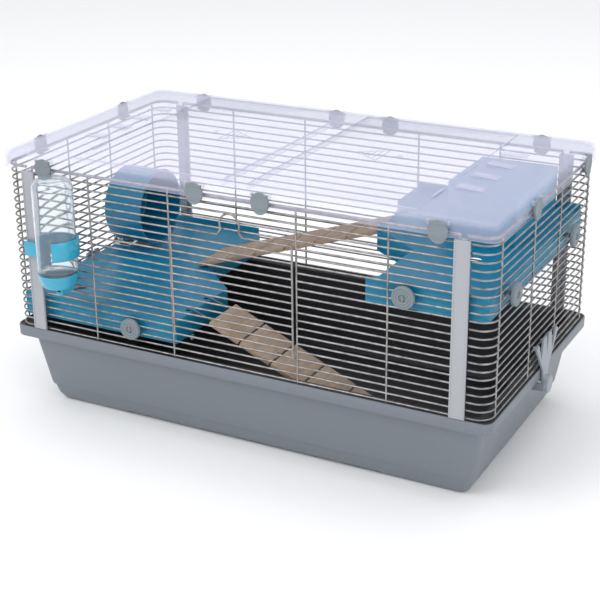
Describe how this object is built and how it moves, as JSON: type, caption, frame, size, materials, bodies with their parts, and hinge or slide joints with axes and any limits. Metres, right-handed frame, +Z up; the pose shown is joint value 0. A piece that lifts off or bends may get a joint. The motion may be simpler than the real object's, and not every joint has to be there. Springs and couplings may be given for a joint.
{
  "type": "hamster cage",
  "caption": "Two-storey wire hamster cage on a plastic tray, with a clear lidded roof, shelves, ladders, wheel, hide and outside drinking bottle.",
  "frame": {"origin": "centre of the tray's underside, on the floor", "axes": "+X along the long front, to the right seen from the front; +Y to the back; +Z up"},
  "size_m": [0.6884, 0.4247, 0.358],
  "materials": {
    "tray_grey": "satin",
    "liner_dark": "satin",
    "wire_steel": "bright plated",
    "post_grey": "satin",
    "roof_clear": "clear moulded plastic",
    "clip_grey": "satin",
    "shelf_teal": "gloss",
    "wheel_teal": "gloss",
    "hide_blue": "gloss",
    "bottle_clear": "clear moulded plastic",
    "holder_blue": "gloss",
    "spout_steel": "satin",
    "ladder_wood": "raw"
  },
  "bodies": {
    "base": {"base_tray": "tray_grey", "litter_liner": "liner_dark"},
    "wire_top": {"front_grille": "wire_steel", "back_grille": "wire_steel", "left_grille": "wire_steel", "right_grille": "wire_steel", "front_left_post": "post_grey", "front_right_post": "post_grey", "back_left_post": "post_grey", "back_right_post": "post_grey", "roof_frame": "roof_clear", "left_shelf": "shelf_teal", "right_shelf": "shelf_teal", "wheel_axle": "spout_steel", "wheel_stand": "bottle_clear", "hide_house": "hide_blue", "bottle_cap": "holder_blue", "bottle_spout": "spout_steel", "bottle_holder": "holder_blue"},
    "front_door": {"front_door": "wire_steel"},
    "left_lid": {"left_lid": "roof_clear"},
    "right_lid": {"right_lid": "roof_clear"},
    "left_latch": {"left_latch": "post_grey"},
    "right_latch": {"right_latch": "post_grey"},
    "lower_ramp": {"lower_ramp": "ladder_wood"},
    "upper_bridge": {"upper_bridge": "ladder_wood"},
    "wheel": {"wheel_drum": "wheel_teal"},
    "bottle": {"bottle_body": "bottle_clear"},
    "front_clip_1": {"front_clip_1": "clip_grey"},
    "front_clip_2": {"front_clip_2": "clip_grey"},
    "front_clip_3": {"front_clip_3": "clip_grey"},
    "front_clip_4": {"front_clip_4": "clip_grey"},
    "back_clip_1": {"back_clip_1": "clip_grey"},
    "back_clip_2": {"back_clip_2": "clip_grey"},
    "back_clip_3": {"back_clip_3": "clip_grey"},
    "back_clip_4": {"back_clip_4": "clip_grey"},
    "left_clip_1": {"left_clip_1": "clip_grey"},
    "left_clip_2": {"left_clip_2": "clip_grey"},
    "right_clip_1": {"right_clip_1": "clip_grey"},
    "right_clip_2": {"right_clip_2": "clip_grey"},
    "left_shelf_front_knob": {"left_shelf_front_knob": "clip_grey"},
    "left_shelf_end_knob_1": {"left_shelf_end_knob_1": "clip_grey"},
    "left_shelf_end_knob_2": {"left_shelf_end_knob_2": "clip_grey"},
    "right_shelf_front_knob": {"right_shelf_front_knob": "clip_grey"},
    "right_shelf_end_knob_1": {"right_shelf_end_knob_1": "clip_grey"},
    "right_shelf_end_knob_2": {"right_shelf_end_knob_2": "clip_grey"}
  },
  "joints": [
    {"name": "top_lift", "type": "slide", "parent": "base", "child": "wire_top", "axis": [0, 0, 1], "range_m": [0, 0.2]},
    {"name": "front_door_hinge", "type": "hinge", "parent": "wire_top", "child": "front_door", "pos_m": [0, -0.179, 0.148], "axis": [1, 0, 0], "range_deg": [0, 120]},
    {"name": "left_lid_hinge", "type": "hinge", "parent": "wire_top", "child": "left_lid", "pos_m": [-0.232, 0, 0.3544], "axis": [0, -1, 0], "range_deg": [0, 105]},
    {"name": "right_lid_hinge", "type": "hinge", "parent": "wire_top", "child": "right_lid", "pos_m": [0.232, 0, 0.3544], "axis": [0, 1, 0], "range_deg": [0, 105]},
    {"name": "left_latch_hinge", "type": "hinge", "parent": "base", "child": "left_latch", "pos_m": [-0.3392, 0, 0.093], "axis": [0, -1, 0], "range_deg": [0, 70]},
    {"name": "right_latch_hinge", "type": "hinge", "parent": "base", "child": "right_latch", "pos_m": [0.3392, 0, 0.093], "axis": [0, 1, 0], "range_deg": [0, 70]},
    {"name": "front_clip_1_hinge", "type": "hinge", "parent": "wire_top", "child": "front_clip_1", "pos_m": [-0.265, -0.1869, 0.349], "axis": [-1, 0, 0], "range_deg": [0, 15]},
    {"name": "front_clip_2_hinge", "type": "hinge", "parent": "wire_top", "child": "front_clip_2", "pos_m": [-0.045, -0.1869, 0.349], "axis": [-1, 0, 0], "range_deg": [0, 45]},
    {"name": "front_clip_3_hinge", "type": "hinge", "parent": "wire_top", "child": "front_clip_3", "pos_m": [0.044, -0.1869, 0.349], "axis": [-1, 0, 0], "range_deg": [0, 45]},
    {"name": "front_clip_4_hinge", "type": "hinge", "parent": "wire_top", "child": "front_clip_4", "pos_m": [0.265, -0.1869, 0.349], "axis": [-1, 0, 0], "range_deg": [0, 45]},
    {"name": "back_clip_1_hinge", "type": "hinge", "parent": "wire_top", "child": "back_clip_1", "pos_m": [-0.257, 0.1869, 0.349], "axis": [1, 0, 0], "range_deg": [0, 45]},
    {"name": "back_clip_2_hinge", "type": "hinge", "parent": "wire_top", "child": "back_clip_2", "pos_m": [-0.041, 0.1869, 0.349], "axis": [1, 0, 0], "range_deg": [0, 45]},
    {"name": "back_clip_3_hinge", "type": "hinge", "parent": "wire_top", "child": "back_clip_3", "pos_m": [0.041, 0.1869, 0.349], "axis": [1, 0, 0], "range_deg": [0, 45]},
    {"name": "back_clip_4_hinge", "type": "hinge", "parent": "wire_top", "child": "back_clip_4", "pos_m": [0.257, 0.1869, 0.349], "axis": [1, 0, 0], "range_deg": [0, 45]},
    {"name": "left_clip_1_hinge", "type": "hinge", "parent": "wire_top", "child": "left_clip_1", "pos_m": [-0.3375, -0.096, 0.349], "axis": [0, 1, 0], "range_deg": [0, 45]},
    {"name": "left_clip_2_hinge", "type": "hinge", "parent": "wire_top", "child": "left_clip_2", "pos_m": [-0.3375, 0.096, 0.349], "axis": [0, 1, 0], "range_deg": [0, 45]},
    {"name": "right_clip_1_hinge", "type": "hinge", "parent": "wire_top", "child": "right_clip_1", "pos_m": [0.3375, -0.066, 0.349], "axis": [0, -1, 0], "range_deg": [0, 45]},
    {"name": "right_clip_2_hinge", "type": "hinge", "parent": "wire_top", "child": "right_clip_2", "pos_m": [0.3375, 0.126, 0.349], "axis": [0, -1, 0], "range_deg": [0, 45]},
    {"name": "lower_ramp_hook", "type": "hinge", "parent": "wire_top", "child": "lower_ramp", "pos_m": [-0.097, -0.1095, 0.1614], "axis": [0, -1, 0], "range_deg": [0, 25]},
    {"name": "upper_bridge_hook", "type": "hinge", "parent": "wire_top", "child": "upper_bridge", "pos_m": [0.121, 0.04, 0.2664], "axis": [0, 1, 0], "range_deg": [0, 18]},
    {"name": "wheel_spin", "type": "hinge", "parent": "wire_top", "child": "wheel", "pos_m": [-0.255, 0.057, 0.2184], "axis": [1, 0, 0], "continuous": true},
    {"name": "left_shelf_front_knob_turn", "type": "hinge", "parent": "wire_top", "child": "left_shelf_front_knob", "pos_m": [-0.15, -0.179, 0.143], "axis": [0, 1, 0], "range_deg": [0, 90]},
    {"name": "left_shelf_end_knob_1_turn", "type": "hinge", "parent": "wire_top", "child": "left_shelf_end_knob_1", "pos_m": [-0.33, -0.1, 0.143], "axis": [1, 0, 0], "range_deg": [0, 90]},
    {"name": "left_shelf_end_knob_2_turn", "type": "hinge", "parent": "wire_top", "child": "left_shelf_end_knob_2", "pos_m": [-0.33, 0.117, 0.143], "axis": [1, 0, 0], "range_deg": [0, 90]},
    {"name": "right_shelf_front_knob_turn", "type": "hinge", "parent": "wire_top", "child": "right_shelf_front_knob", "pos_m": [0.224, -0.179, 0.253], "axis": [0, 1, 0], "range_deg": [0, 90]},
    {"name": "right_shelf_end_knob_1_turn", "type": "hinge", "parent": "wire_top", "child": "right_shelf_end_knob_1", "pos_m": [0.33, -0.117, 0.253], "axis": [-1, 0, 0], "range_deg": [0, 90]},
    {"name": "right_shelf_end_knob_2_turn", "type": "hinge", "parent": "wire_top", "child": "right_shelf_end_knob_2", "pos_m": [0.33, 0.1, 0.253], "axis": [-1, 0, 0], "range_deg": [0, 90]},
    {"name": "bottle_lift", "type": "slide", "parent": "wire_top", "child": "bottle", "axis": [0, 0, 1], "range_m": [0, 0.13]}
  ]
}
